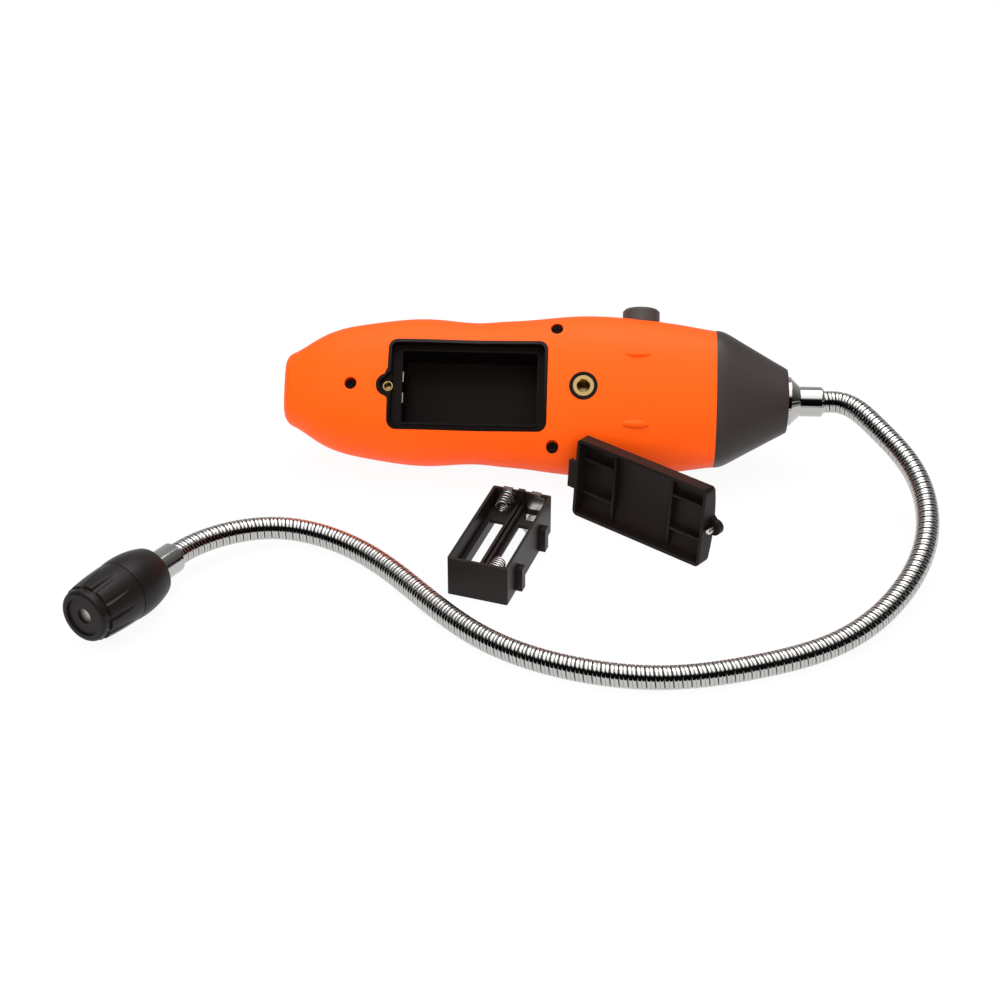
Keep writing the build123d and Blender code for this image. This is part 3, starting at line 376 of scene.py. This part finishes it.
def conduit(material):
    """Wound strip conduit: nearly flat turns with a narrow groove, climbing as a helix."""
    points = [Vector(p) * MM - CENTRE for p in NECK_POINTS]
    end_way = (points[-1] - points[-2]).normalized()
    fine, ways = clamped_spline(points, NECK_START_WAY, end_way, NECK_SAMPLES)
    run = np.concatenate([[0], np.cumsum(np.linalg.norm(np.diff(fine, axis=0), axis=1))])
    length = run[-1]
    turns = round(length / NECK_PITCH)
    per_turn = len(TURN_PROFILE)
    rows = turns * per_turn
    vertices, heights = [], []
    for i in range(rows):
        turn, row = divmod(i, per_turn)
        phase, height = TURN_PROFILE[row]
        radius = NECK_GROOVE + (NECK_RIDGE - NECK_GROOVE) * height
        for j in range(NECK_SIDES):
            place = min(length, (turn + phase + j / NECK_SIDES) * length / turns)
            middle = Vector([np.interp(place, run, fine[:, k]) for k in range(3)])
            axis = Vector([np.interp(place, run, ways[:, k]) for k in range(3)]).normalized()
            level = Vector((-axis.y, axis.x, 0)).normalized()
            rise = axis.cross(level)
            angle = 2 * math.pi * j / NECK_SIDES
            out = math.cos(angle) * level + math.sin(angle) * rise
            vertices.append(middle + radius * out)
            heights.append(height)
    faces = []
    for i in range(rows - 1 - per_turn):
        for j in range(NECK_SIDES):
            # Once round, the strip has climbed by a turn, so the last side joins that far on
            k, ahead = (j + 1, 0) if j + 1 < NECK_SIDES else (0, per_turn)
            low, high = i * NECK_SIDES, (i + 1) * NECK_SIDES
            climb = ahead * NECK_SIDES
            faces.append((low + j, low + climb + k, high + climb + k, high + j))
    shown = mesh_object("conduit", vertices, faces, smooth=True)
    kept = shown.data.attributes.new("turn_height", "FLOAT", "POINT")
    kept.data.foreach_set("value", heights)
    shown.data.materials.append(material)
    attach(shown, "root")
    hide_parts("gooseneck")


def tube(name, centres, radius):
    """Round wire along a list of points, closed at both ends."""
    vertices = []
    across = (centres[1] - centres[0]).normalized().orthogonal()
    for i, centre in enumerate(centres):
        way = (centres[min(i + 1, len(centres) - 1)] - centres[max(i - 1, 0)]).normalized()
        across = (across - across.dot(way) * way).normalized()
        up = way.cross(across)
        for j in range(WIRE_SIDES):
            angle = 2 * math.pi * j / WIRE_SIDES
            vertices.append(centre + radius * (math.cos(angle) * across + math.sin(angle) * up))
    faces = [tuple(range(WIRE_SIDES))[::-1]]
    for i in range(len(centres) - 1):
        low, high = i * WIRE_SIDES, (i + 1) * WIRE_SIDES
        for j in range(WIRE_SIDES):
            k = (j + 1) % WIRE_SIDES
            faces.append((low + j, low + k, high + k, high + j))
    last = (len(centres) - 1) * WIRE_SIDES
    faces.append(tuple(range(last, last + WIRE_SIDES)))
    return mesh_object(name, vertices, faces, smooth=True)


def standing(corner, yaw):
    """Where a piece stands on the table: its corner and its turn in degrees."""
    turn = Matrix.Rotation(math.radians(yaw), 4, "Z")
    return Matrix.Translation(corner - CENTRE) @ turn


def springs(material):
    """Smooth conical springs in place of the faceted ones in the cell holder."""
    place = standing(HOLDER_CORNER, HOLDER_YAW)
    steps = round(SPRING_TURNS * SPRING_STEPS)
    for number, (x, z, far) in enumerate(SPRING_BAYS):
        centres = []
        for i in range(steps + 1):
            share = i / steps
            angle = 2 * math.pi * SPRING_TURNS * share
            radius = SPRING_RADII[0] + share * (SPRING_RADII[1] - SPRING_RADII[0])
            run = SPRING_WIRE + (SPRING_LENGTH - 2 * SPRING_WIRE) * share
            y = HOLDER_LENGTH - HOLDER_END - run if far else HOLDER_END + run
            local = Vector((x + radius * math.cos(angle), y, z + radius * math.sin(angle)))
            centres.append(place @ (local * MM))
        coil = tube(f"spring_{number + 1}", centres, SPRING_WIRE * MM)
        coil.data.materials.append(material)
        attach(coil, "root")
        if number == 0:
            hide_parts("holder_springs")


def cover(node, material):
    """The battery cover, with the ends of its ribs drawn back inside the crowned outer face."""
    lean = math.pi / 2 - math.atan(COVER_DRAFT / COVER_DEPTH)
    place = standing(COVER_CORNER, COVER_YAW) @ Matrix.Rotation(lean, 4, "X")
    mesh = node.data.copy()
    mesh.transform(place.inverted() @ node.matrix_world)
    half = COVER_WIDTH / 2 - COVER_DRAFT
    arc = (half**2 + COVER_CROWN**2) / (2 * COVER_CROWN)
    for vertex in mesh.vertices:
        x, y, z = vertex.co / MM
        across = min(half, abs(y - COVER_WIDTH / 2))
        face = -COVER_DEPTH - COVER_CROWN + arc - math.sqrt(arc**2 - across**2)
        if z < face - RIB_OVERRUN:
            vertex.co.z = (face + RIB_SET_BACK) * MM
    mesh.transform(place)
    shown = bpy.data.objects.new("cover", mesh)
    bpy.context.scene.collection.objects.link(shown)
    shown.data.materials.clear()
    shown.data.materials.append(material)
    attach(shown, "root")
    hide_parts("battery_cover")


def main():
    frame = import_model()
    studio()
    looks = materials()
    for part in frame["record"]["subparts"]:
        mesh = frame["nodes"][part["node"]].data
        mesh.materials.clear()
        mesh.materials.append(looks[part["material_slot"]])
    conduit(looks["conduit_chrome"])
    springs(looks["plated_steel"])
    cover(frame["nodes"]["battery_cover"], looks["black_cover"])


main()
